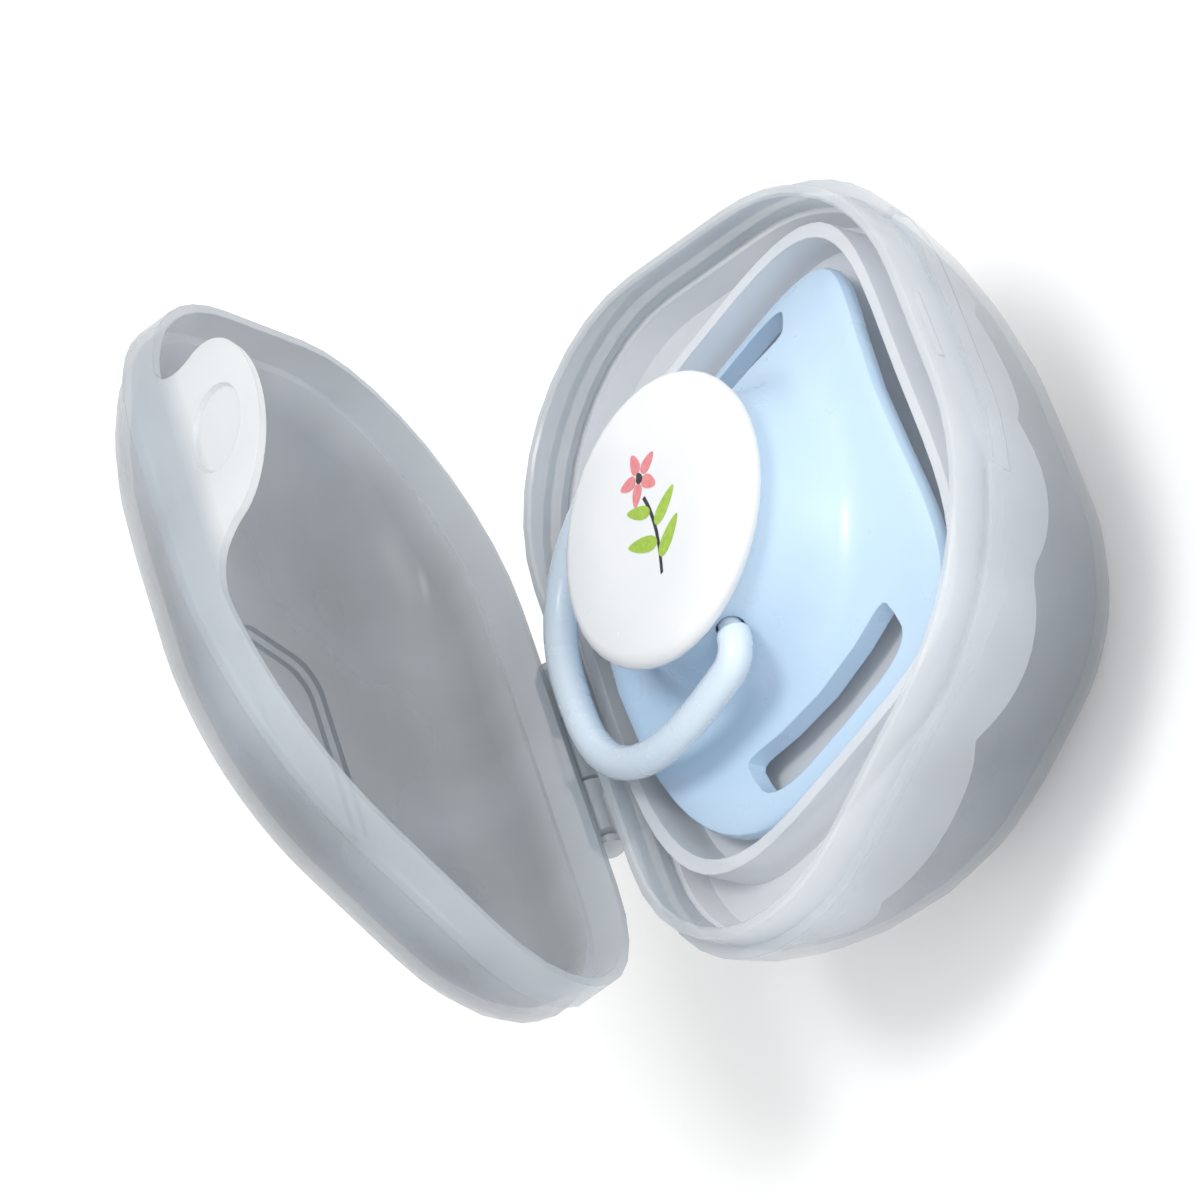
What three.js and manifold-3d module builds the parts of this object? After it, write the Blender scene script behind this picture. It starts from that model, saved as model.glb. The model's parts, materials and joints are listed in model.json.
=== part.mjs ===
// Pacifier storage box: a clam-shell case of frosted polypropylene with a pacifier
// seated in a lift-out tray. Millimetres, +Z up.
// The case is modelled about its rim plane (z = 0 at the top of the base's lip),
// with X along the hinge and +Y from the hinge to the latch, and the group at the
// end stands it on the foot of the base.
import * as THREE from 'three';
import { mergeVertices } from 'three/addons/utils/BufferGeometryUtils.js';
import Module from 'manifold-3d';

const wasm = await Module();
wasm.setup();

// Outline of the case from above: four corner arcs joined by straight runs
const rearCornerX = 17.3;
const rearCornerY = 18.8;
const rearCornerRadius = 19.4;
const frontCornerX = 7;
const frontCornerY = 30;
const frontCornerRadius = 25.6;
const cornerSteps = 10;

// Base bowl
const baseDepth = 33;
const wall = 1.2;
const bandGrow = 0.6;
const lipInset = 0.6;
const lipHeight = 3;
const lipWall = 1.1;
const bowlRoundness = 1.5;
const bowlSteps = 8;
const footShare = 0.36;
const footCentreY = 25;

// Lid
const skirtHeight = 3.8;
const skirtWall = 0.9;
const domeInset = 0.2;
const domeWall = 1.1;
const domeHeight = 11.7;
const domeRoundness = 1.95;
const domeSteps = 8;
const domeTopShare = 0.4;
const domeTopCentreY = 21;
const lidClearance = 0.3;
const openAngle = THREE.MathUtils.degToRad(70.8);

// Embossed panel in the lid's crown
const panelWidth = 22;
const panelLength = 12;
const panelCorner = 3;
const panelDepth = 0.5;

// Latch tongue, its thumb dimple and its seat in the base
const tongueReach = 12.1;
const tongueHalfWidth = 9.8;
const tongueFillet = 5;
const tongueTaper = 0.4;
const tongueFlare = THREE.MathUtils.degToRad(22);
const dimpleRadius = 4.2;
const dimpleDepth = 0.4;
const dimpleDrop = 5.8;
const seatHalfWidth = 16;
const seatStep = 0.8;
const seatHeight = 2.4;
const beadRadius = 0.5;
const beadProud = 0.22;
const beadLength = 8;
const beadDrop = 1.6;
const beadGrooveDepth = 0.35;

// Barrel hinge behind the rear wall
const hingeY = -3.6;
const hingeDrop = 2.5;
const barrelRadius = 1.8;
const pinRadius = 0.8;
const pinClearance = 0.08;
const lidKnuckleLength = 7.2;
const baseKnuckleLength = 6;
const knuckleGap = 0.4;
const pinHeadRadius = 1.3;
const pinHeadLength = 0.8;
const webThickness = 1.3;

// Tray that carries the pacifier
const trayGap = 0.45;
const trayWall = 1;
const deckThickness = 1.2;
const trayHemDrop = 10.6;
const trayFineness = 2;
const scallopDepth = 3;
const scallopCount = 12;
const holderRoom = 1.6;
const holderRoundness = 3.9;
const holderWall = 1.2;
const holderTopDrop = 1.9;
const holderSag = 1.5;
const holderSides = 56;
const teatHoleRadius = 12.5;

// Pacifier
const pacifierY = 25.9;
const shieldHalfX = 23.5;
const shieldHalfY = 21.6;
const shieldRoundness = 3.6;
const shieldNotch = 0.5;
const shieldThickness = 2;
const shieldEdgeZ = -5.8;
const shieldCrownZ = -0.9;
const bossTopZ = 6.4;
const bossTopRadius = 11.9;
const bossFootRadius = 17.5;
const bossFlare = 3;
const bossRings = 6;
const wingRings = 4;
const shieldUnderRings = 4;
const shieldEdgeSteps = 2;
const shieldSides = 48;
const ventRim = 2;
const ventWidth = 3.7;
const ventEndWidth = 5;
const ventHalfLength = 11.3;
const ventBluntness = 4.5;
const ventSides = 28;
const stemRadius = 4;
const stemClearance = 0.3;
const capRadius = 13.7;
const capThickness = 2.6;
const capFloatGap = 0.3;

// Ring handle
const ringHalfWidth = 15.6;
const ringReach = 23.2;
const ringRoundness = 2.6;
const ringTubeRadius = 1.6;
const ringBend = 2.3;
const ringStub = 0.25;
const ringPivotZ = 4.4;
const ringDroop = THREE.MathUtils.degToRad(5);
const pivotRadius = 1.1;
const pivotLength = 3.2;
const pivotClearance = 0.25;

// Teat
const teatCollarRadius = 9;
const teatCollarThickness = 1.4;
const teatNeckRadius = 5.9;
const teatBulbRadius = 8;
const teatFloorRoom = 2.9;
const teatWall = 1.5;

const runSteps = 3;
const knuckleSides = 20;
const beadSides = 12;
const dimpleSides = 32;
const ringSides = 28;
const tongueSides = 14;
const panelSteps = 6;
const capSides = 40;
const capSteps = 6;
const capCrown = 0.25;
const capCrownShare = 0.55;
const pivotSides = 16;
const ringSteps = 13;
const ringBendSteps = 4;
const ringTubeSides = 12;
const teatSteps = 6;
const teatTipAngle = THREE.MathUtils.degToRad(11);
const teatShoulderAngle = THREE.MathUtils.degToRad(52);
const lipRound = 0.25;
const scallopSwell = 0.7;
const notchSharpness = 6;
const edgeRoundShare = 0.35;
const plugHeadRadius = 7.5;
const plugHeadThickness = 1.2;
const plugReach = 7;
const plugChamfer = 0.6;

const overrun = 1;
const halfTurn = Math.PI;
const quarterTurn = Math.PI / 2;

const rearEdgeY = rearCornerY - rearCornerRadius;
const frontEdgeY = frontCornerY + frontCornerRadius;
const planCentreY = (rearEdgeY + frontEdgeY) / 2;
const shoulderZ = -lipHeight - lidClearance;
const beadZ = -beadDrop;

const hingeZ = -hingeDrop;
const skirtTopZ = -lipHeight + skirtHeight;
const skirtInset = skirtWall - bandGrow;
const innerTopZ = shoulderZ - wall;
const innerGrow = bandGrow - wall;
const innerBottomZ = -baseDepth + wall;
const domeStartZ = skirtTopZ + domeInset;
const deckTopZ = shieldEdgeZ - shieldThickness;
const ringEndX = ringHalfWidth - ringBend - ringStub;

// Points on an arc, from one angle to another
function arcPoints(x, y, radius, from, to, steps) {
  const points = [];
  for (let i = 0; i <= steps; i += 1) {
    const angle = from + (to - from) * i / steps;
    points.push(new THREE.Vector2(x + radius * Math.cos(angle), y + radius * Math.sin(angle)));
  }
  return points;
}

// Points inside a straight run, without its two ends
function runPoints(a, b, steps) {
  const points = [];
  for (let i = 1; i < steps; i += 1) {
    points.push(a.clone().lerp(b, i / steps));
  }
  return points;
}

// The case outline moved outwards by grow, anticlockwise from the hinge side
function casePlan(grow, fineness = 1) {
  const arcSteps = cornerSteps * fineness;
  const straightSteps = runSteps * fineness;
  const rearRadius = rearCornerRadius + grow;
  const frontRadius = frontCornerRadius + grow;
  const run = new THREE.Vector2(frontCornerX - rearCornerX, frontCornerY - rearCornerY);
  const turn = run.angle() - Math.acos((rearRadius - frontRadius) / run.length());
  const rear = arcPoints(rearCornerX, rearCornerY, rearRadius, -quarterTurn, turn, arcSteps);
  const front = arcPoints(frontCornerX, frontCornerY, frontRadius, turn, quarterTurn, arcSteps);
  const side = runPoints(rear[rear.length - 1], front[0], straightSteps);
  const right = [...rear, ...side, ...front];
  const left = right.map((p) => new THREE.Vector2(-p.x, p.y)).reverse();
  const frontRun = runPoints(right[right.length - 1], left[0], straightSteps);
  const rearRun = runPoints(left[left.length - 1], right[0], straightSteps);
  return [...right, ...frontRun, ...left, ...rearRun];
}

// A superellipse outline about (0, y)
function ovalPlan(halfX, halfY, roundness, y, sides) {
  const points = [];
  for (let i = 0; i < sides; i += 1) {
    const angle = 2 * Math.PI * i / sides;
    const c = Math.cos(angle);
    const s = Math.sin(angle);
    const px = halfX * Math.sign(c) * Math.abs(c) ** (2 / roundness);
    const py = halfY * Math.sign(s) * Math.abs(s) ** (2 / roundness);
    points.push(new THREE.Vector2(px, y + py));
  }
  return points;
}

// One level of a loft: an outline at height z, which may be a function of the point
function level(plan, z) {
  return plan.map((p, i) => new THREE.Vector3(p.x, p.y, typeof z === 'function' ? z(p, i) : z));
}

// A plan drawn in towards a centre on the Y axis
function drawnIn(plan, share, centreY) {
  return plan.map((p) => new THREE.Vector2(share * p.x, centreY + share * (p.y - planCentreY)));
}

// A closed body through the levels, capped at both ends
function loft(levels) {
  const count = levels[0].length;
  const points = levels.flat();
  const index = [];
  for (let k = 0; k < levels.length - 1; k += 1) {
    for (let i = 0; i < count; i += 1) {
      const a = k * count + i;
      const b = k * count + (i + 1) % count;
      index.push(a, b, b + count, a, b + count, a + count);
    }
  }
  const first = points.length;
  const last = first + 1;
  const end = (levels.length - 1) * count;
  const middle = (ring) => ring.reduce((sum, p) => sum.add(p), new THREE.Vector3()).divideScalar(count);
  points.push(middle(levels[0]), middle(levels[levels.length - 1]));
  for (let i = 0; i < count; i += 1) {
    const j = (i + 1) % count;
    index.push(first, j, i);
    index.push(last, end + i, end + j);
  }
  const geometry = new THREE.BufferGeometry().setFromPoints(points);
  geometry.setIndex(facingOut(points, index));
  return geometry;
}

// The triangles turned so that they face out of the body
function facingOut(points, index) {
  let volume = 0;
  for (let i = 0; i < index.length; i += 3) {
    const [a, b, c] = [points[index[i]], points[index[i + 1]], points[index[i + 2]]];
    volume += a.dot(b.clone().cross(c));
  }
  return volume > 0 ? index : index.reverse();
}

function solidOf(geometry) {
  const plain = geometry.clone();
  plain.deleteAttribute('normal');
  plain.deleteAttribute('uv');
  const merged = mergeVertices(plain.index ? plain : mergeVertices(plain));
  return new wasm.Manifold(new wasm.Mesh({
    numProp: 3,
    vertProperties: new Float32Array(merged.attributes.position.array),
    triVerts: new Uint32Array(merged.index.array),
  }));
}

function geometryOf(solid) {
  const mesh = solid.getMesh();
  const geometry = new THREE.BufferGeometry();
  geometry.setAttribute('position', new THREE.BufferAttribute(mesh.vertProperties, 3));
  geometry.setIndex(new THREE.BufferAttribute(mesh.triVerts, 1));
  geometry.computeVertexNormals();
  return geometry;
}

function boxSolid(xSize, ySize, zSize, x, y, z) {
  return solidOf(new THREE.BoxGeometry(xSize, ySize, zSize).translate(x, y, z));
}

// A cylinder along X
function barSolid(radius, length, x, y, z, sides) {
  const bar = new THREE.CylinderGeometry(radius, radius, length, sides);
  return solidOf(bar.rotateZ(quarterTurn).translate(x, y, z));
}

// A plate drawn in X and Z, between two depths along Y
function uprightPlate(shape, nearY, farY) {
  const depth = farY - nearY;
  const plate = new THREE.ExtrudeGeometry(shape, { depth, bevelEnabled: false, curveSegments: tongueSides });
  return solidOf(plate.rotateX(quarterTurn).translate(0, farY, 0));
}

// A body turned about a vertical axis through (0, y)
function turned(profile, y, sides) {
  const body = new THREE.LatheGeometry(profile.map(([r, z]) => new THREE.Vector2(r, z)), sides);
  return solidOf(body.rotateX(quarterTurn).translate(0, y, 0));
}

// Sections of the bowl: the share of the plan left at a depth, and the centre there
function bowlLevel(plan, topZ, bottomZ, drop) {
  const side = (1 - drop ** bowlRoundness) ** (1 / bowlRoundness);
  const share = footShare + (1 - footShare) * side;
  const centreY = planCentreY + (footCentreY - planCentreY) * drop;
  return level(drawnIn(plan, share, centreY), topZ + (bottomZ - topZ) * drop);
}

function bowlLevels(grow, topZ, bottomZ) {
  const plan = casePlan(grow);
  const levels = [];
  for (let i = 0; i <= bowlSteps; i += 1) {
    const drop = Math.sin(quarterTurn * i / bowlSteps) ** (2 / bowlRoundness);
    levels.push(bowlLevel(plan, topZ, bottomZ, drop));
  }
  return levels;
}

function domeLevels(grow, startZ, topZ) {
  const plan = casePlan(grow);
  const levels = [];
  for (let i = 0; i <= domeSteps; i += 1) {
    const angle = quarterTurn * i / domeSteps;
    const rise = Math.sin(angle) ** (2 / domeRoundness);
    const share = domeTopShare + (1 - domeTopShare) * Math.cos(angle) ** (2 / domeRoundness);
    const centreY = planCentreY + (domeTopCentreY - planCentreY) * rise;
    levels.push(level(drawnIn(plan, share, centreY), startZ + (topZ - startZ) * rise));
  }
  return levels;
}

// Knuckle of the barrel hinge with its web to the wall, bored for the pin
function knuckle(length, x, webZ) {
  const barrel = barSolid(barrelRadius, length, x, hingeY, hingeZ, knuckleSides);
  const webReach = rearEdgeY - bandGrow + wall / 2 - hingeY;
  const web = boxSolid(length, webReach, webThickness, x, hingeY + webReach / 2, webZ);
  return barrel.add(web).subtract(pinBore(length, x));
}

function pinBore(length, x) {
  return barSolid(pinRadius + pinClearance, length + 2 * overrun, x, hingeY, hingeZ, knuckleSides);
}

// The case outline as a prism that flares out below the lip, as the tongue does
function flaredSolid(grow, topZ) {
  const reach = tongueReach + overrun;
  return solidOf(loft([
    level(casePlan(grow + reach * Math.tan(tongueFlare)), -lipHeight - reach),
    level(casePlan(grow), -lipHeight),
    level(casePlan(grow), topZ),
  ]));
}

function makeBaseShell() {
  const outer = bowlLevels(bandGrow, shoulderZ, -baseDepth).reverse();
  const lipOut = -lipInset;
  const lipIn = -lipInset - lipWall;
  const inner = bowlLevels(innerGrow, innerTopZ, innerBottomZ);
  const lip = [
    level(casePlan(lipOut), shoulderZ),
    level(casePlan(lipOut), -lipRound),
    level(casePlan(lipOut - lipRound), 0),
    level(casePlan(lipIn + lipRound), 0),
    level(casePlan(lipIn), -lipRound),
    level(casePlan(lipIn), innerTopZ),
  ];
  const shell = solidOf(loft([...outer, ...lip, ...inner]));
  const stepZ = shoulderZ - seatStep;
  const seat = seatCut(lipOut, stepZ, -lipHeight / 2).add(seatCut(0, shoulderZ - seatHeight, stepZ));
  const beadY = frontEdgeY + lipOut + beadProud - beadRadius;
  const bead = barSolid(beadRadius, beadLength, 0, beadY, beadZ, beadSides);
  const side = lidKnuckleLength / 2 + knuckleGap + baseKnuckleLength / 2;
  const webZ = shoulderZ - lidClearance - webThickness / 2;
  return shell.subtract(seat).add(bead)
    .add(knuckle(baseKnuckleLength, side, webZ))
    .add(knuckle(baseKnuckleLength, -side, webZ))
    .subtract(pinBore(2 * side + baseKnuckleLength, 0));
}

// What lies in front of the outline, between two heights, over the width of the tongue's seat
function seatCut(grow, footZ, topZ) {
  const front = boxSolid(2 * seatHalfWidth, frontEdgeY, topZ - footZ, 0, frontEdgeY, (footZ + topZ) / 2);
  return front.subtract(solidOf(loft([
    level(casePlan(grow), footZ - overrun),
    level(casePlan(grow), topZ + overrun),
  ])));
}

// A round lobe that widens into the skirt, carried forward from the middle of the case
function tonguePlate() {
  const shape = new THREE.Shape();
  const half = tongueHalfWidth;
  const root = half + tongueFillet;
  const lobeZ = -lipHeight - tongueFillet;
  shape.moveTo(-root, -lipHeight / 2);
  shape.lineTo(-root, -lipHeight);
  shape.quadraticCurveTo(-half, -lipHeight, -half + tongueTaper, lobeZ);
  shape.absellipse(0, lobeZ, half - tongueTaper, tongueReach - tongueFillet, halfTurn, 2 * halfTurn, false);
  shape.quadraticCurveTo(half, -lipHeight, root, -lipHeight);
  shape.lineTo(root, -lipHeight / 2);
  return uprightPlate(shape, planCentreY, frontEdgeY + bandGrow + tongueReach);
}

function makeLidShell() {
  const crown = domeHeight + domeStartZ;
  const outerDome = domeLevels(-domeInset, domeStartZ, crown).reverse();
  const innerDome = domeLevels(-domeInset - domeWall, lidClearance, crown - domeWall);
  const skirt = [
    level(casePlan(bandGrow - lipRound), skirtTopZ),
    level(casePlan(bandGrow), skirtTopZ - lipRound),
    level(casePlan(bandGrow), -lipHeight),
    level(casePlan(-skirtInset), -lipHeight),
    level(casePlan(-skirtInset), lidClearance),
  ];
  const shell = solidOf(loft([...outerDome, ...skirt, ...innerDome]));
  const grooveY = frontEdgeY - skirtInset;
  const groove = barSolid(beadGrooveDepth, beadLength + 2 * beadRadius, 0, grooveY, beadZ, beadSides);
  const dimpleFoot = dimpleRadius - dimpleDepth;
  const dimple = new THREE.CylinderGeometry(dimpleRadius, dimpleFoot, 2 * dimpleDepth, dimpleSides);
  const dimpleY = frontEdgeY + bandGrow + dimpleDrop * Math.tan(tongueFlare);
  const dimpleAt = dimple.rotateX(tongueFlare).translate(0, dimpleY, -lipHeight - dimpleDrop);
  const leaf = flaredSolid(bandGrow, 0).subtract(flaredSolid(-skirtInset, overrun));
  const tongue = leaf.intersect(tonguePlate());
  const panel = panelSolid(crown);
  const innerPad = panel.translate([0, 0, -domeWall]);
  const webZ = hingeZ + webThickness / 2;
  return shell.subtract(panel).add(innerPad).add(tongue)
    .subtract(solidOf(dimpleAt))
    .subtract(groove)
    .add(knuckle(lidKnuckleLength, 0, webZ));
}

// Rounded panel sunk into the crown, and standing proud inside it
function panelSolid(crown) {
  const halfX = panelWidth / 2 - panelCorner;
  const halfY = panelLength / 2 - panelCorner;
  const shape = new THREE.Shape();
  shape.absarc(halfX, halfY, panelCorner, 0, quarterTurn, false);
  shape.absarc(-halfX, halfY, panelCorner, quarterTurn, halfTurn, false);
  shape.absarc(-halfX, -halfY, panelCorner, halfTurn, 3 * quarterTurn, false);
  shape.absarc(halfX, -halfY, panelCorner, 3 * quarterTurn, 2 * halfTurn, false);
  const depth = 2 * panelDepth;
  const slab = new THREE.ExtrudeGeometry(shape, { depth, bevelEnabled: false, curveSegments: panelSteps });
  return solidOf(slab.translate(0, domeTopCentreY, crown - panelDepth));
}

// Height of the scalloped hem of the tray, by the bearing from the middle of the case
function hemZ(p) {
  const bearing = Math.atan2(p.y - planCentreY, p.x) + quarterTurn;
  const lobe = Math.abs(Math.cos(scallopCount * bearing / 2)) ** scallopSwell;
  return -trayHemDrop - scallopDepth * lobe;
}

function makeInnerTray() {
  const outerGrow = innerGrow - trayGap;
  const outerPlan = casePlan(outerGrow, trayFineness);
  const innerPlan = casePlan(outerGrow - trayWall, trayFineness);
  const dropAt = (z) => (innerTopZ - z) / (innerTopZ - innerBottomZ);
  const section = (plan, z) => bowlLevel(plan, innerTopZ, innerBottomZ, dropAt(z));
  const deckFootZ = deckTopZ - deckThickness;
  const trayTopZ = innerTopZ - trayGap;
  const hem = (plan) => plan.map((p, i) => section(plan, hemZ(p))[i]);
  const body = solidOf(loft([
    section(innerPlan, deckTopZ),
    section(innerPlan, trayTopZ),
    section(outerPlan, trayTopZ),
    section(outerPlan, deckTopZ),
    section(outerPlan, deckFootZ),
    hem(outerPlan),
    hem(innerPlan),
    section(innerPlan, deckFootZ),
  ]));
  const insideX = shieldHalfX + holderRoom;
  const insideY = shieldHalfY + holderRoom;
  const sagging = (p) => -holderTopDrop - holderSag * (p.x / insideX) ** 2;
  const holderInner = ovalPlan(insideX, insideY, holderRoundness, pacifierY, holderSides);
  const [outsideX, outsideY] = [insideX + holderWall, insideY + holderWall];
  const holderOuter = ovalPlan(outsideX, outsideY, holderRoundness, pacifierY, holderSides);
  const deckMiddleZ = deckTopZ - deckThickness / 2;
  const wallOuter = solidOf(loft([level(holderOuter, deckMiddleZ), level(holderOuter, sagging)]));
  const wallInner = solidOf(loft([level(holderInner, deckTopZ), level(holderInner, 0)]));
  const hole = turned([
    [0, deckFootZ - overrun],
    [teatHoleRadius, deckFootZ - overrun],
    [teatHoleRadius, deckTopZ + overrun],
    [0, deckTopZ + overrun],
  ], pacifierY, ringSides);
  return body.add(wallOuter.subtract(wallInner)).subtract(hole);
}

// Top face of the shield, which bends back towards the wings
function shieldZ(x) {
  return shieldCrownZ + (shieldEdgeZ - shieldCrownZ) * (x / shieldHalfX) ** 2;
}

function bossRise(radius) {
  const away = THREE.MathUtils.clamp((bossFootRadius - radius) / (bossFootRadius - bossTopRadius), 0, 1);
  return away ** bossFlare;
}

function shieldOutline() {
  return ovalPlan(shieldHalfX, shieldHalfY, shieldRoundness, 0, shieldSides).map((p, i) => {
    const notch = shieldNotch * Math.abs(Math.sin(2 * Math.PI * i / shieldSides)) ** notchSharpness;
    return p.setLength(p.length() - notch);
  });
}

// The boss in rings about the centre, the wings spread from them to the outline
function makeShield() {
  const outline = shieldOutline();
  const rounding = shieldThickness * edgeRoundShare;
  const circle = (radius) => outline.map((p) => p.clone().setLength(radius));
  const drawn = (inset) => outline.map((p) => p.clone().setLength(p.length() - inset));
  const top = (p) => shieldZ(p.x) * (1 - bossRise(p.length())) + bossTopZ * bossRise(p.length());
  const under = (p) => shieldZ(p.x) - shieldThickness;
  const topLevels = [level(circle(bossTopRadius / 2), top)];
  for (let k = 0; k <= bossRings; k += 1) {
    const radius = bossTopRadius + (bossFootRadius - bossTopRadius) * k / bossRings;
    topLevels.push(level(circle(radius), top));
  }
  for (let k = 1; k <= wingRings; k += 1) {
    const flat = drawn(rounding);
    topLevels.push(level(circle(bossFootRadius).map((p, i) => p.lerp(flat[i], k / wingRings)), top));
  }
  const underLevels = [];
  for (let k = 1; k <= shieldEdgeSteps; k += 1) {
    const angle = quarterTurn * k / shieldEdgeSteps;
    const rim = drawn(rounding * (1 - Math.sin(angle)));
    const drop = rounding * (1 - Math.cos(angle));
    topLevels.push(level(rim, (p) => top(p) - drop));
    underLevels.unshift(level(rim, (p) => under(p) + drop));
  }
  for (let k = shieldUnderRings; k >= 1; k -= 1) {
    underLevels.push(level(drawn(rounding).map((p) => p.multiplyScalar(k / shieldUnderRings)), under));
  }
  const plate = solidOf(loft([...topLevels, ...underLevels]));
  const boreRadius = stemRadius + stemClearance;
  const pocketRadius = plugHeadRadius + stemClearance;
  const pocketZ = bossTopZ - plugHeadThickness - stemClearance;
  const bore = turned([
    [0, -lipHeight * 2],
    [boreRadius, -lipHeight * 2],
    [boreRadius, pocketZ],
    [pocketRadius, pocketZ],
    [pocketRadius, bossTopZ + overrun],
    [0, bossTopZ + overrun],
  ], 0, ringSides);
  const pivotBore = barSolid(pivotRadius + pivotClearance, 2 * ringHalfWidth, 0, 0, ringPivotZ, pivotSides);
  const coreHalf = ringEndX - pivotLength - pivotClearance;
  const core = barSolid(pivotRadius * 2, 2 * coreHalf, 0, 0, ringPivotZ, pivotSides);
  const pivotCut = pivotBore.subtract(core);
  const vents = ventSolid(1).add(ventSolid(-1));
  return plate.subtract(bore).subtract(pivotCut).subtract(vents);
}

// A blunt vent through the wing on one side, its outer edge held off the shield's edge
function ventSolid(side) {
  const shape = new THREE.Shape(ovalPlan(1, ventHalfLength, ventBluntness, 0, ventSides).map((p) => {
    const narrowing = (1 - Math.abs(p.y / shieldHalfY) ** shieldRoundness) ** (1 / shieldRoundness);
    const width = ventWidth + (ventEndWidth - ventWidth) * (p.y / ventHalfLength) ** 2;
    const x = shieldHalfX * narrowing - ventRim - width * (1 - p.x) / 2;
    return new THREE.Vector2(side * x, p.y);
  }));
  const depth = shieldCrownZ - shieldEdgeZ + 2 * shieldThickness;
  const cut = new THREE.ExtrudeGeometry(shape, { depth, bevelEnabled: false });
  return solidOf(cut.translate(0, 0, shieldEdgeZ - shieldThickness - overrun));
}

const plugFootZ = shieldCrownZ - shieldThickness - plugReach;

function makeTeatPlug() {
  const headZ = bossTopZ - plugHeadThickness;
  return turned([
    [0, plugFootZ],
    [stemRadius - plugChamfer, plugFootZ],
    [stemRadius, plugFootZ + plugChamfer],
    [stemRadius, headZ],
    [plugHeadRadius, headZ],
    [plugHeadRadius, bossTopZ],
    [0, bossTopZ],
  ], 0, ringSides);
}

function makeButtonCap() {
  const footZ = bossTopZ + capFloatGap;
  const topZ = footZ + capThickness;
  const middleZ = (footZ + topZ) / 2;
  const rounding = capThickness / 2;
  const edge = arcPoints(capRadius - rounding, middleZ, rounding, -quarterTurn, quarterTurn, capSteps);
  const profile = edge.map((p) => [p.x, p.y]);
  const crown = [capRadius * capCrownShare, topZ + capCrown / 2];
  return turned([[0, footZ], ...profile, crown, [0, topZ + capCrown]], 0, capSides);
}

// Centre line of the ring, lying towards the hinge, its ends bent in to the pivots
function ringPath() {
  const half = [new THREE.Vector2(ringEndX, 0)];
  half.push(...arcPoints(ringHalfWidth - ringBend, -ringBend, ringBend, quarterTurn, 0, ringBendSteps));
  for (let i = 1; i <= ringSteps; i += 1) {
    const angle = quarterTurn * i / ringSteps;
    const x = ringHalfWidth * Math.max(Math.cos(angle), 0) ** (2 / ringRoundness);
    const y = -ringBend - (ringReach - ringBend) * Math.sin(angle) ** (2 / ringRoundness);
    half.push(new THREE.Vector2(i === ringSteps ? 0 : x, y));
  }
  const other = half.slice(0, -1).map((p) => new THREE.Vector2(-p.x, p.y)).reverse();
  return [...half, ...other];
}

function makeRingHandle() {
  const path = ringPath();
  const sections = path.map((p, i) => {
    const before = path[Math.max(i - 1, 0)];
    const after = path[Math.min(i + 1, path.length - 1)];
    const along = after.clone().sub(before).normalize();
    return arcPoints(0, 0, ringTubeRadius, 0, 2 * Math.PI, ringTubeSides).slice(1)
      .map((q) => new THREE.Vector3(p.x + q.x * along.y, p.y - q.x * along.x, q.y));
  });
  const pinLength = pivotLength + ringStub;
  const pinX = ringEndX + ringStub - pinLength / 2;
  return solidOf(loft(sections))
    .add(barSolid(pivotRadius, pinLength, pinX, 0, 0, pivotSides))
    .add(barSolid(pivotRadius, pinLength, -pinX, 0, 0, pivotSides));
}

function makeTeat() {
  const sag = shieldCrownZ - shieldZ(teatCollarRadius);
  const topZ = shieldCrownZ - shieldThickness - sag - stemClearance;
  const tipZ = innerBottomZ + teatFloorRoom;
  const neckZ = topZ - (topZ - tipZ) / 3;
  const bulbZ = tipZ + teatBulbRadius;
  const inner = (radius) => radius - teatWall;
  const foot = -quarterTurn + teatTipAngle;
  const bulb = (radius, from, to) => arcPoints(0, bulbZ, radius, from, to, teatSteps).map((p) => [p.x, p.y]);
  const profile = [
    [0, tipZ],
    ...bulb(teatBulbRadius, foot, teatShoulderAngle),
    [teatNeckRadius, neckZ],
    [teatNeckRadius, topZ - teatCollarThickness],
    [teatCollarRadius, topZ - teatCollarThickness],
    [teatCollarRadius, topZ],
    [inner(teatNeckRadius), topZ],
    [inner(teatNeckRadius), neckZ],
    ...bulb(inner(teatBulbRadius), teatShoulderAngle, foot),
    [0, tipZ + teatWall],
  ];
  return turned(profile, 0, ringSides);
}

function makeHingePin() {
  const halfSpan = lidKnuckleLength / 2 + knuckleGap + baseKnuckleLength;
  const headX = halfSpan + knuckleGap + pinHeadLength / 2;
  const length = 2 * (halfSpan + knuckleGap + pinHeadLength / 2);
  return barSolid(pinRadius, length, 0, 0, 0, knuckleSides)
    .add(barSolid(pinHeadRadius, pinHeadLength, headX, 0, 0, knuckleSides))
    .add(barSolid(pinHeadRadius, pinHeadLength, -headX, 0, 0, knuckleSides));
}

// A finish, clear to some degree where its opacity is below one
function finish(color, roughness, opacity = 1) {
  const transparent = opacity < 1;
  return new THREE.MeshStandardMaterial({ color, roughness, opacity, transparent, metalness: 0 });
}

// Finishes, one for each plastic
const frosted = finish(0xd4dade, 0.35, 0.5);
const trayPlastic = finish(0xe2e6e8, 0.4, 0.6);
const bluePlastic = finish(0xa9cdf0, 0.3);
const paleBlue = finish(0xc3dcf3, 0.3);
const whitePlastic = finish(0xf6f7f7, 0.25);
const silicone = finish(0xe9e4d6, 0.45, 0.7);

function named(name, solid, material) {
  const mesh = new THREE.Mesh(geometryOf(solid), material);
  mesh.name = name;
  return mesh;
}

const baseGroup = new THREE.Group();
baseGroup.add(named('base_shell', makeBaseShell(), frosted));
baseGroup.add(named('inner_tray', makeInnerTray(), trayPlastic));

const pin = named('hinge_pin', makeHingePin(), frosted);
pin.position.set(0, hingeY, hingeZ);
baseGroup.add(pin);

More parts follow.
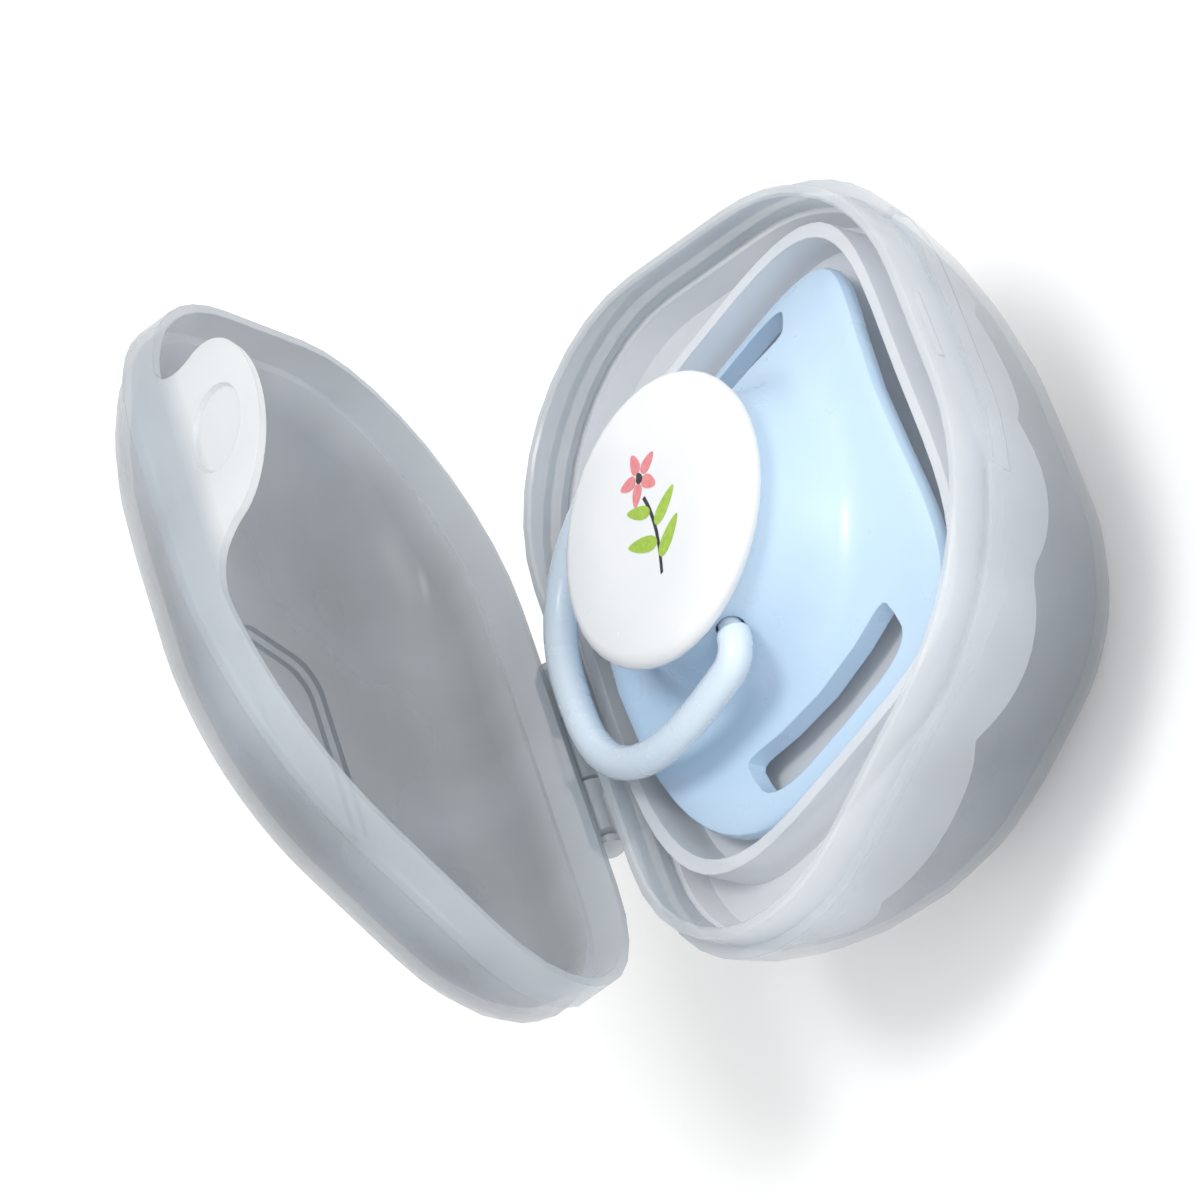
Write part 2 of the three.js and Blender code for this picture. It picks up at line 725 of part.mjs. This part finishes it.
const pacifier = new THREE.Group();
pacifier.position.y = pacifierY;
pacifier.add(named('shield', makeShield(), bluePlastic));
pacifier.add(named('teat', makeTeat(), silicone));
pacifier.add(named('teat_plug', makeTeatPlug(), bluePlastic));
pacifier.add(named('button_cap', makeButtonCap(), whitePlastic));

const ring = named('ring_handle', makeRingHandle(), paleBlue);
ring.position.z = ringPivotZ;
ring.rotation.x = ringDroop;
pacifier.add(ring);
baseGroup.add(pacifier);

// The lid swings about the hinge axis and is stored open
const lidGroup = new THREE.Group();
lidGroup.position.set(0, hingeY, hingeZ);
lidGroup.rotation.x = openAngle;
const lid = named('lid_shell', makeLidShell(), frosted);
lid.position.set(0, -hingeY, -hingeZ);
lidGroup.add(lid);

const box = new THREE.Group();
box.add(baseGroup, lidGroup);
box.position.set(0, -footCentreY, baseDepth);

export default box;
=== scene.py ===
import json
import math

import bpy
from mathutils import Matrix, Vector


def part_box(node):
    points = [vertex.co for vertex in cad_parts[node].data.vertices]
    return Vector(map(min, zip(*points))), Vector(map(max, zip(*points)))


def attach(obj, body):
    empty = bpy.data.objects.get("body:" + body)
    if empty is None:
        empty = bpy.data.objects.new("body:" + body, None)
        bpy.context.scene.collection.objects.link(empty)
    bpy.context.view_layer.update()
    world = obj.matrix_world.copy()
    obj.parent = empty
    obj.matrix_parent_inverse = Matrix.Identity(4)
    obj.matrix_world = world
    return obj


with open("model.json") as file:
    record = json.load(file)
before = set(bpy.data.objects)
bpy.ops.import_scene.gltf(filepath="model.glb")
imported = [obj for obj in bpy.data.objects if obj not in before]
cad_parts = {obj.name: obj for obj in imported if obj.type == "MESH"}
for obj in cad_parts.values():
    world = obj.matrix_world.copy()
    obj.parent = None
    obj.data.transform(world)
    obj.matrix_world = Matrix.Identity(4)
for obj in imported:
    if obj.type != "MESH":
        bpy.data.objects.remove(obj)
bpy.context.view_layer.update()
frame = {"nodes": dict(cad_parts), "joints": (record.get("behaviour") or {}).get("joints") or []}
nodes = frame["nodes"]

# Lengths are in metres, and a number times MM is in millimetres
MM = 0.001
ORIGIN = (0, 0, 0)

# Camera of the photograph, in the row frame, with its lens and sensor in millimetres
CAMERA_PLACE = Vector((508.3, 404.8, 476.9)) * MM
CAMERA_TARGET = Vector((-7.9, -16.3, 34.0)) * MM
CAMERA_ROLL = math.radians(-75.2)
CAMERA_LENS = 263.0
SENSOR_WIDTH = 36.0
CAMERA_CLIP = (0.05, 10)

# Places and directions that the case's finish is set out from. The lid is shut at its lower limit.
RIM = Vector((0, 0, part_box("base_shell")[1].z))
TO_FOOT = Vector((0, 0, -1))
LID_JOINT = next(joint for joint in frame["joints"] if joint["name"] == "lid_hinge")
HINGE = Vector(LID_JOINT["pos_m"])
HINGE_LINE = Vector(LID_JOINT["axis"])
OPEN_ANGLE = math.radians(-LID_JOINT["range_deg"][0])
TO_LID_CROWN = Vector((0, -math.sin(OPEN_ANGLE), math.cos(OPEN_ANGLE)))

# The button's face, which falls by the drop at the crown radius, and the print's lift above it
BUTTON_LOW, BUTTON_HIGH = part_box("button_cap")
BUTTON_MIDDLE = (BUTTON_LOW + BUTTON_HIGH) / 2
BUTTON_CENTRE = Vector((BUTTON_MIDDLE.x, BUTTON_MIDDLE.y, BUTTON_HIGH.z))
BUTTON_RADIUS = BUTTON_HIGH.x - BUTTON_MIDDLE.x
CROWN_RADIUS_SHARE = 0.55
CROWN_RADIUS = CROWN_RADIUS_SHARE * BUTTON_RADIUS
CROWN_DROP = 0.125 * MM
PRINT_LIFT = 0.03 * MM
LAYER_LIFT = 0.002 * MM

# Stalk and petals of the printed sprig, in millimetres on the button's face
STALK_STEPS = 10
STALK_START = -6.2
STALK_LENGTH = 8.4
STALK_RISE = 1.3
STALK_BEND = 2.2
STALK_DROP = 0.9
STALK_WIDTH = 0.42
PETAL_SIDES = 18
PETAL_POINT = 0.25

# Leaves and blossom: root across and along, length and width in millimetres, angle in degrees
LEAVES = (
    (-4.6, -0.4, 4.2, 2.0, 62),
    (-3.1, -0.1, 4.4, 2.0, -55),
    (-1.4, 0.4, 4.0, 1.9, 66),
    (0.2, 0.3, 3.6, 1.7, -50),
)
BLOSSOM_PETALS = 5
BLOSSOM_CENTRE = (4.4, 0.4)
BLOSSOM_GAP = 0.5
BLOSSOM_REACH = 2.3
BLOSSOM_WIDTH = 1.7
BLOSSOM_EYE = (3.8, 0.4, 1.2, 1.2, 0)
DARK, GREEN, PINK = 0, 1, 2

# Inks in that order: name, colour and shade
INKS = (
    ("ink_dark", (44, 46, 48), (62, 64, 66)),
    ("ink_green", (176, 208, 86), (160, 194, 72)),
    ("ink_pink", (238, 150, 152), (228, 134, 140)),
)
INK_BLOTCH_SIZE = 0.5 * MM
INK_STOPS = (0.35, 0.65)
INK_GLOSS_SIZE = 0.3 * MM
INK_ROUGHNESS = (0.35, 0.5)

# Light from all round, and the floor with what it adds to its own white
WHITE = (1, 1, 1, 1)
WORLD_LIGHT = 0.84
FLOOR_GLOW = 0.12
FLOOR_COLOUR = (0.9, 0.9, 0.9, 1)
FLOOR_ROUGHNESS = 0.9
FLOOR_SIZE = 3.0
FLOOR_DROP = 0.02 * MM

# Lamps: name, place and size in metres, and power in watts
LAMP_TARGET = (0, 0, 0.03)
LAMPS = (
    ("key", (0.16, 0.27, 0.7), 0.2, 2.0),
    ("fill", (0.3, 0.7, 0.45), 0.6, 1.3),
)

# Smooth shading of the CAD's triangles, and the soft edges of the moulded pieces
SHARP_ANGLE = math.radians(32)
MERGE_DISTANCE = 0.002 * MM
EDGE_RADIUS = 0.18 * MM
EDGE_SAMPLES = 4

# Material of each CAD node
MATERIAL_OF = {
    "base_shell": "base",
    "lid_shell": "lid",
    "hinge_pin": "pin",
    "inner_tray": "tray",
    "shield": "blue",
    "teat_plug": "blue",
    "ring_handle": "pale",
    "button_cap": "white",
    "teat": "silicone",
}

# Plain plastics: name, light and dark colour, and range of roughness
PLAIN_PLASTICS = {
    "blue": ("blue_plastic", (200, 224, 244), (195, 220, 243), (0.24, 0.34)),
    "pale": ("pale_blue_plastic", (222, 236, 247), (217, 232, 246), (0.22, 0.32)),
    "white": ("white_plastic", (246, 247, 248), (242, 244, 246), (0.2, 0.3)),
}

# See-through plastics and silicone: the same, with a range of opacity before the roughness
FROSTED_PLASTICS = {
    "pin": ("pin_plastic", (214, 218, 222), (196, 202, 208), (0.6, 0.7), (0.28, 0.4)),
    "tray": ("tray_plastic", (246, 248, 251), (238, 241, 246), (0.62, 0.72), (0.3, 0.42)),
    "silicone": ("silicone", (236, 231, 216), (226, 220, 204), (0.6, 0.7), (0.38, 0.5)),
}

# Skin that both kinds share
CLOUD_SIZE = 9 * MM
FROSTED_CLOUD_SIZE = 14 * MM
CLOUD_STOPS = (0.3, 0.7)
MILK_PATCH_SIZE = 22 * MM
GLOSS_PATCH_SIZE = 3 * MM
GRAIN_SIZE = 0.9 * MM
GRAIN_DEPTH = 0.01 * MM
GRAIN_STRENGTH = 0.5
COARSE_DETAIL = 2.0
FINE_DETAIL = 3.0

# Zones of the frosted case: depth from the rim or the hinge in millimetres, colour and opacity. The
# colours are painted light and shade: paler at the rim and catch, greyer with depth
BASE_PAINTED_SHADE_ZONES = (
    (0, (226, 231, 235), 0.52),
    (4, (212, 219, 226), 0.36),
    (12, (196, 204, 213), 0.3),
    (20, (168, 178, 188), 0.34),
    (34, (146, 156, 166), 0.44),
)
LID_PAINTED_SHADE_ZONES = (
    (-16, (240, 243, 244), 0.68),
    (-4, (238, 241, 243), 0.62),
    (-1, (206, 213, 219), 0.42),
    (3, (194, 202, 209), 0.38),
    (6, (160, 168, 176), 0.42),
    (15, (144, 153, 162), 0.42),
)

# Skin of the frosted case: the waver of its zones, its clouds, its gloss and its grain
ZONE_WAVER_SIZE = 12 * MM
ZONE_WAVER = 1.2 * MM
CASE_CLOUD_SIZE = 20 * MM
CASE_CLOUD = 0.05
CASE_GLOSS_SIZE = 4 * MM
CASE_ROUGHNESS = (0.18, 0.28)
CASE_GRAIN_SIZE = 1.1 * MM
CASE_GRAIN_DEPTH = 0.02 * MM

# Painted highlight and shade streaks on the frosted case, with the darkest and lightest factor on the
# base and the lid
BASE_PAINTED_STREAKS = (0.86, 1.08)
LID_PAINTED_STREAKS = (0.85, 1.18)
STREAK_SIZE = 14 * MM
STREAK_SQUASH = 0.12
STREAK_START = 5 * MM
STREAK_AT_RIM = 0.2
STREAK_STOPS = (0.36, 0.66)
STREAK_ROUGHNESS = 0.4

# Painted shade on the case's side by the hinge, away from the lamps: where it lies, its darkening tint
# and its added opacity
PAINTED_SHADE_DIRECTION = Vector((-0.62, -0.78, 0))
PAINTED_SHADE_REACH = (-16 * MM, 12 * MM)
PAINTED_SHADE_TINT = (0.78, 0.79, 0.8, 1)
PAINTED_SHADE_OPACITY = 0.2


def new_material(name):
    material = bpy.data.materials.new(name)
    material.use_nodes = True
    tree = material.node_tree
    shader = tree.nodes["Principled BSDF"]
    return material, tree, shader


def link(tree, source, target):
    tree.links.new(source, target)


def object_coordinates(tree):
    return tree.nodes.new("ShaderNodeTexCoord").outputs["Object"]


def noise(tree, size, detail=FINE_DETAIL):
    node = tree.nodes.new("ShaderNodeTexNoise")
    node.inputs["Scale"].default_value = 1 / size
    node.inputs["Detail"].default_value = detail
    link(tree, object_coordinates(tree), node.inputs["Vector"])
    return node.outputs["Fac"]


def depth_from(tree, point, direction):
    """Distance of the surface from a plane through the point, along the direction."""
    moved = tree.nodes.new("ShaderNodeVectorMath")
    moved.operation = "SUBTRACT"
    moved.inputs[1].default_value = point
    link(tree, object_coordinates(tree), moved.inputs[0])
    dot = tree.nodes.new("ShaderNodeVectorMath")
    dot.operation = "DOT_PRODUCT"
    dot.inputs[1].default_value = direction
    link(tree, moved.outputs["Vector"], dot.inputs[0])
    return dot.outputs["Value"]


def combined(tree, operation, a, b):
    node = tree.nodes.new("ShaderNodeMath")
    node.operation = operation
    for socket, value in zip(node.inputs, (a, b)):
        if isinstance(value, (int, float)):
            socket.default_value = value
        else:
            link(tree, value, socket)
    return node.outputs["Value"]


def ramp(tree, source, stops):
    node = tree.nodes.new("ShaderNodeValToRGB")
    node.color_ramp.elements[0].position, node.color_ramp.elements[0].color = stops[0]
    node.color_ramp.elements[1].position, node.color_ramp.elements[1].color = stops[-1]
    for position, colour in stops[1:-1]:
        node.color_ramp.elements.new(position).color = colour
    link(tree, source, node.inputs["Fac"])
    return node.outputs["Color"]


def value_range(tree, source, low, high, start=0.0, end=1.0):
    node = tree.nodes.new("ShaderNodeMapRange")
    node.inputs["From Min"].default_value = start
    node.inputs["From Max"].default_value = end
    node.inputs["To Min"].default_value = low
    node.inputs["To Max"].default_value = high
    link(tree, source, node.inputs["Value"])
    return node.outputs["Result"]


def add_grain(tree, shader, size, depth):
    """Softens the edges and puts a fine grain on the surface."""
    bevel = tree.nodes.new("ShaderNodeBevel")
    bevel.samples = EDGE_SAMPLES
    bevel.inputs["Radius"].default_value = EDGE_RADIUS
    bump = tree.nodes.new("ShaderNodeBump")
    bump.inputs["Strength"].default_value = GRAIN_STRENGTH
    bump.inputs["Distance"].default_value = depth
    link(tree, noise(tree, size, COARSE_DETAIL), bump.inputs["Height"])
    link(tree, bevel.outputs["Normal"], bump.inputs["Normal"])
    link(tree, bump.outputs["Normal"], shader.inputs["Normal"])


def multiplied(tree, factor, a, b):
    """The colour a, multiplied by the colour b as far as the factor says."""
    node = tree.nodes.new("ShaderNodeMix")
    node.data_type = "RGBA"
    node.blend_type = "MULTIPLY"
    link(tree, factor, node.inputs["Factor"])
    link(tree, a, node.inputs["A"])
    if isinstance(b, tuple):
        node.inputs["B"].default_value = b
    else:
        link(tree, b, node.inputs["B"])
    return node.outputs["Result"]


def grey(value):
    return (value, value, value, 1)


def linear(level):
    """The linear value of an sRGB level from 0 to 255."""
    share = level / 255
    return share / 12.92 if share <= 0.04045 else ((share + 0.055) / 1.055) ** 2.4


def srgb(colour):
    return (*map(linear, colour), 1)


def plastic(name, light, dark, roughness, cloud=CLOUD_SIZE):
    """Moulded plastic: a faint cloud in the colour, an uneven gloss and a fine moulded skin."""
    material, tree, shader = new_material(name)
    colour = ramp(tree, noise(tree, cloud), list(zip(CLOUD_STOPS, (srgb(dark), srgb(light)))))
    link(tree, colour, shader.inputs["Base Color"])
    gloss = value_range(tree, noise(tree, GLOSS_PATCH_SIZE), *roughness)
    link(tree, gloss, shader.inputs["Roughness"])
    add_grain(tree, shader, GRAIN_SIZE, GRAIN_DEPTH)
    return material


def frosted(name, light, dark, alpha, roughness):
    """Milky see-through plastic or silicone, cloudier where the melt met."""
    material = plastic(name, light, dark, roughness, FROSTED_CLOUD_SIZE)
    tree = material.node_tree
    milk = value_range(tree, noise(tree, MILK_PATCH_SIZE, COARSE_DETAIL), *alpha)
    link(tree, milk, tree.nodes["Principled BSDF"].inputs["Alpha"])
    return material


def case_plastic(name, point, direction, zones, streaks):
    """Frosted case: milkier at the thick rim and catch, with painted light and shade that makes it
    paler there and greyer down the thin shell.

    The zones follow the depth from the point along the direction, and the painted highlight and shade
    streaks run the same way. Painted shade makes the hinge side duller and milkier than the catch side."""
    material, tree, shader = new_material(name)
    first, last = zones[0][0], zones[-1][0]
    depth = depth_from(tree, point, direction)
    waver = value_range(tree, noise(tree, ZONE_WAVER_SIZE, COARSE_DETAIL), -ZONE_WAVER, ZONE_WAVER)
    share = value_range(tree, combined(tree, "ADD", depth, waver), 0.0, 1.0, first * MM, last * MM)
    places = [(zone[0] - first) / (last - first) for zone in zones]
    # Painted light and shade: the colour is paler at the rim and catch and greyer with depth
    base = ramp(tree, share, [(place, srgb(zone[1])) for place, zone in zip(places, zones)])
    opacity = ramp(tree, share, [(place, grey(zone[2])) for place, zone in zip(places, zones)])

    # Painted highlight and shade streaks, fading in below the rim
    painted_marks = ramp(tree, painted_streaks(tree, depth, direction), list(zip(STREAK_STOPS, map(grey, streaks))))
    strength = value_range(tree, depth, STREAK_AT_RIM, 1.0, 0.0, STREAK_START)
    # Painted shade: darker and more opaque towards the hinge side, away from the lamps
    painted_shade = value_range(tree, depth_from(tree, ORIGIN, PAINTED_SHADE_DIRECTION), 0.0, 1.0, *PAINTED_SHADE_REACH)
    colour = multiplied(tree, painted_shade, multiplied(tree, strength, base, painted_marks), PAINTED_SHADE_TINT)
    link(tree, colour, shader.inputs["Base Color"])

    cloud = value_range(tree, noise(tree, CASE_CLOUD_SIZE, COARSE_DETAIL), -CASE_CLOUD, CASE_CLOUD)
    # The opacity adds a random cloud and the painted shade's extra opacity
    milk = combined(tree, "ADD", cloud, combined(tree, "MULTIPLY", painted_shade, PAINTED_SHADE_OPACITY))
    link(tree, combined(tree, "ADD", opacity, milk), shader.inputs["Alpha"])
    gloss = value_range(tree, noise(tree, CASE_GLOSS_SIZE), *CASE_ROUGHNESS)
    link(tree, gloss, shader.inputs["Roughness"])
    add_grain(tree, shader, CASE_GRAIN_SIZE, CASE_GRAIN_DEPTH)
    return material


def painted_streaks(tree, depth, direction):
    """Painted highlight and shade streaks, long in the given direction and narrow across it."""
    place = tree.nodes.new("ShaderNodeCombineXYZ")
    link(tree, depth_from(tree, ORIGIN, HINGE_LINE), place.inputs["X"])
    link(tree, depth_from(tree, ORIGIN, HINGE_LINE.cross(direction)), place.inputs["Y"])
    link(tree, combined(tree, "MULTIPLY", depth, STREAK_SQUASH), place.inputs["Z"])
    painted_marks = tree.nodes.new("ShaderNodeTexNoise")
    painted_marks.inputs["Scale"].default_value = 1 / STREAK_SIZE
    painted_marks.inputs["Detail"].default_value = COARSE_DETAIL
    painted_marks.inputs["Roughness"].default_value = STREAK_ROUGHNESS
    link(tree, place.outputs["Vector"], painted_marks.inputs["Vector"])
    return painted_marks.outputs["Fac"]


def ink(name, colour, shade):
    """Pad-printed ink, a little uneven, on the button."""
    material, tree, shader = new_material(name)
    blotch = noise(tree, INK_BLOTCH_SIZE, COARSE_DETAIL)
    colour = ramp(tree, blotch, list(zip(INK_STOPS, (srgb(shade), srgb(colour)))))
    link(tree, colour, shader.inputs["Base Color"])
    gloss = value_range(tree, noise(tree, INK_GLOSS_SIZE), *INK_ROUGHNESS)
    link(tree, gloss, shader.inputs["Roughness"])
    return material


def make_materials():
    made = {}
    made["base"] = case_plastic("case_base_plastic", RIM, TO_FOOT, BASE_PAINTED_SHADE_ZONES, BASE_PAINTED_STREAKS)
    made["lid"] = case_plastic("case_lid_plastic", HINGE, TO_LID_CROWN, LID_PAINTED_SHADE_ZONES, LID_PAINTED_STREAKS)
    for key, looks in FROSTED_PLASTICS.items():
        made[key] = frosted(*looks)
    for key, looks in PLAIN_PLASTICS.items():
        made[key] = plastic(*looks)
    return made


def smoothing_group():
    """Joins the triangles at their shared corners and shades them smooth between sharp edges."""
    group = bpy.data.node_groups.new("smooth_by_angle", "GeometryNodeTree")
    group.interface.new_socket("Geometry", in_out="INPUT", socket_type="NodeSocketGeometry")
    group.interface.new_socket("Geometry", in_out="OUTPUT", socket_type="NodeSocketGeometry")
    start = group.nodes.new("NodeGroupInput")
    merge = group.nodes.new("GeometryNodeMergeByDistance")
    merge.inputs["Distance"].default_value = MERGE_DISTANCE
    bend = group.nodes.new("GeometryNodeInputMeshEdgeAngle")
    flat = group.nodes.new("FunctionNodeCompare")
    flat.operation = "LESS_THAN"
    flat.inputs["B"].default_value = SHARP_ANGLE
    faces = group.nodes.new("GeometryNodeSetShadeSmooth")
    faces.domain = "FACE"
    edges = group.nodes.new("GeometryNodeSetShadeSmooth")
    edges.domain = "EDGE"
    end = group.nodes.new("NodeGroupOutput")
    group.links.new(start.outputs["Geometry"], merge.inputs["Geometry"])
    group.links.new(merge.outputs["Geometry"], faces.inputs["Geometry"])
    group.links.new(faces.outputs["Geometry"], edges.inputs["Geometry"])
    group.links.new(bend.outputs["Unsigned Angle"], flat.inputs["A"])
    group.links.new(flat.outputs["Result"], edges.inputs["Shade Smooth"])
    group.links.new(edges.outputs["Geometry"], end.inputs["Geometry"])
    return group


def dress_nodes(materials):
    smoothing = smoothing_group()
    for name, key in MATERIAL_OF.items():
        node = nodes[name]
        node.data.materials.clear()
        node.data.materials.append(materials[key])
        node.modifiers.new("smooth", "NODES").node_group = smoothing


def petal(across, along, length, width, angle):
    """Points and faces of a pointed oval that starts at a place and runs out at an angle."""
    turned = math.radians(angle)
    points = []
    for i in range(PETAL_SIDES):
        turn = 2 * math.pi * i / PETAL_SIDES
        u = length * (1 - math.cos(turn)) / 2
        v = width / 2 * math.sin(turn) * (1 - PETAL_POINT + PETAL_POINT * math.cos(turn))
        points.append((across + u * math.cos(turned) - v * math.sin(turned),
                       along + u * math.sin(turned) + v * math.cos(turned)))
    middle = tuple(sum(point[axis] for point in points) / PETAL_SIDES for axis in (0, 1))
    faces = [(i, (i + 1) % PETAL_SIDES, PETAL_SIDES) for i in range(PETAL_SIDES)]
    return points + [middle], faces


def stalk():
    """Points and faces of a thin curved stalk, up one side and back down the other."""
    left, right = [], []
    for i in range(STALK_STEPS + 1):
        share = i / STALK_STEPS
        x = STALK_START + STALK_LENGTH * share
        y = STALK_RISE * math.sin(STALK_BEND * share) - STALK_DROP
        left.append((x, y - STALK_WIDTH / 2))
        right.append((x, y + STALK_WIDTH / 2))
    last = 2 * STALK_STEPS + 1
    faces = [(i, i + 1, last - 1 - i, last - i) for i in range(STALK_STEPS)]
    return left + right[::-1], faces


def blossom_petals():
    for i in range(BLOSSOM_PETALS):
        angle = 360 * i / BLOSSOM_PETALS
        across = BLOSSOM_CENTRE[0] + BLOSSOM_GAP * math.cos(math.radians(angle))
        along = BLOSSOM_CENTRE[1] + BLOSSOM_GAP * math.sin(math.radians(angle))
        yield petal(across, along, BLOSSOM_REACH, BLOSSOM_WIDTH, angle)


def on_button(x, y, layer):
    """The place of a printed point, which follows the button's low crown."""
    fall = CROWN_DROP * math.hypot(x, y) * MM / CROWN_RADIUS
    return BUTTON_CENTRE + Vector((-x * MM, y * MM, PRINT_LIFT + layer * LAYER_LIFT - fall))


def make_print(body):
    """A plain sprig printed on the button, in three inks."""
    shapes = [(stalk(), DARK)]
    shapes += [(petal(*leaf), GREEN) for leaf in LEAVES]
    shapes += [(shape, PINK) for shape in blossom_petals()]
    shapes += [(petal(*BLOSSOM_EYE), DARK)]
    vertices, faces, inks = [], [], []
    for layer, ((points, shape_faces), ink_index) in enumerate(shapes):
        first = len(vertices)
        vertices += [on_button(x, y, layer) for x, y in points]
        faces += [tuple(first + corner for corner in face) for face in shape_faces]
        inks += [ink_index] * len(shape_faces)
    mesh = bpy.data.meshes.new("button_print")
    mesh.from_pydata(vertices, [], faces)
    for looks in INKS:
        mesh.materials.append(ink(*looks))
    for face, index in zip(mesh.polygons, inks):
        face.material_index = index
    piece = bpy.data.objects.new("button_print", mesh)
    bpy.context.scene.collection.objects.link(piece)
    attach(piece, body)


def make_floor():
    bpy.ops.mesh.primitive_plane_add(size=FLOOR_SIZE, location=(0, 0, -FLOOR_DROP))
    floor = bpy.context.object
    floor.name = "floor"
    material, tree, shader = new_material("floor_paper")
    shader.inputs["Base Color"].default_value = FLOOR_COLOUR
    shader.inputs["Roughness"].default_value = FLOOR_ROUGHNESS
    shader.inputs["Emission Color"].default_value = WHITE
    glow = combined(tree, "MULTIPLY", seen_plainly(tree), FLOOR_GLOW)
    link(tree, glow, shader.inputs["Emission Strength"])
    floor.data.materials.append(material)


def seen_plainly(tree):
    """One for rays from the camera and for mirrored and refracted ones, which show the background."""
    path = tree.nodes.new("ShaderNodeLightPath")
    either = combined(tree, "MAXIMUM", path.outputs["Is Camera Ray"], path.outputs["Is Glossy Ray"])
    return combined(tree, "MAXIMUM", either, path.outputs["Is Transmission Ray"])


def make_world():
    world = bpy.data.worlds.new("studio")
    bpy.context.scene.world = world
    world.use_nodes = True
    tree = world.node_tree
    background = tree.nodes["Background"]
    background.inputs["Color"].default_value = WHITE
    strength = value_range(tree, seen_plainly(tree), WORLD_LIGHT, 1.0)
    link(tree, strength, background.inputs["Strength"])


def make_lamps():
    for name, place, size, power in LAMPS:
        data = bpy.data.lights.new(name, "AREA")
        data.shape = "DISK"
        data.size = size
        data.energy = power
        lamp = bpy.data.objects.new(name, data)
        bpy.context.scene.collection.objects.link(lamp)
        lamp.location = place
        lamp.rotation_mode = "QUATERNION"
        lamp.rotation_quaternion = (Vector(LAMP_TARGET) - Vector(place)).to_track_quat("-Z", "Y")


def make_camera():
    data = bpy.data.cameras.new("camera")
    data.sensor_width = SENSOR_WIDTH
    data.lens = CAMERA_LENS
    data.clip_start, data.clip_end = CAMERA_CLIP
    camera = bpy.data.objects.new("camera", data)
    bpy.context.scene.collection.objects.link(camera)
    look = (CAMERA_TARGET - CAMERA_PLACE).to_track_quat("-Z", "Y").to_matrix().to_4x4()
    camera.matrix_world = Matrix.Translation(CAMERA_PLACE) @ look @ Matrix.Rotation(CAMERA_ROLL, 4, "Z")
    bpy.context.scene.camera = camera


bpy.context.scene.view_settings.view_transform = "Standard"
dress_nodes(make_materials())
make_print("case_base")
make_floor()
make_world()
make_lamps()
make_camera()
